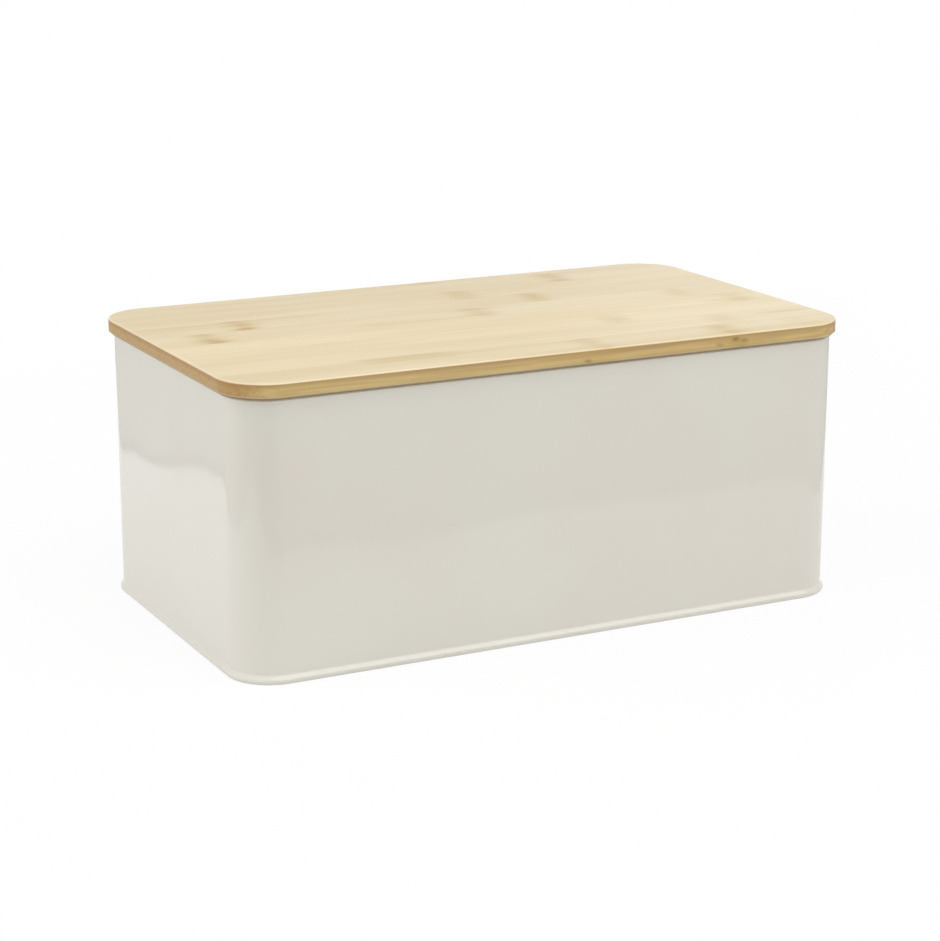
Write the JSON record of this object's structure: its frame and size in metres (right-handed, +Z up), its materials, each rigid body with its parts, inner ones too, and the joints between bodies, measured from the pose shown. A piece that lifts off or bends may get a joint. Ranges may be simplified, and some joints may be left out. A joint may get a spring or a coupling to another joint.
{
  "type": "bread box",
  "caption": "Rectangular bread box: a cream-painted sheet-steel tin with rounded corners, rolled rim and seamed base, closed by a flat lift-off bamboo lid.",
  "frame": {"origin": "on the floor, under the middle of the box", "axes": "+X along the length, +Y towards the back where the wall's lock seam is, +Z up"},
  "size_m": [0.33, 0.192, 0.142],
  "materials": {
    "cream_paint": "gloss cream enamel on tinplate",
    "bamboo_face": "fine-sanded bamboo, clear matt oil",
    "bamboo_plug": "sanded bamboo, clear matt oil"
  },
  "bodies": {
    "tin": {"body_wall": "cream_paint", "base_panel": "cream_paint"},
    "lid": {"lid_stave_1": "bamboo_face", "lid_stave_2": "bamboo_face", "lid_stave_3": "bamboo_face", "lid_stave_4": "bamboo_face", "lid_stave_5": "bamboo_face", "lid_stave_6": "bamboo_face", "lid_stave_7": "bamboo_face", "lid_stave_8": "bamboo_face", "lid_stave_9": "bamboo_face", "plug_stave_1": "bamboo_plug", "plug_stave_2": "bamboo_plug", "plug_stave_3": "bamboo_plug", "plug_stave_4": "bamboo_plug", "plug_stave_5": "bamboo_plug", "plug_stave_6": "bamboo_plug", "plug_stave_7": "bamboo_plug", "plug_stave_8": "bamboo_plug", "plug_stave_9": "bamboo_plug"}
  },
  "joints": [
    {"name": "lid_lift", "type": "slide", "parent": "tin", "child": "lid", "axis": [0, 0, 1], "range_m": [0, 0.2]}
  ]
}
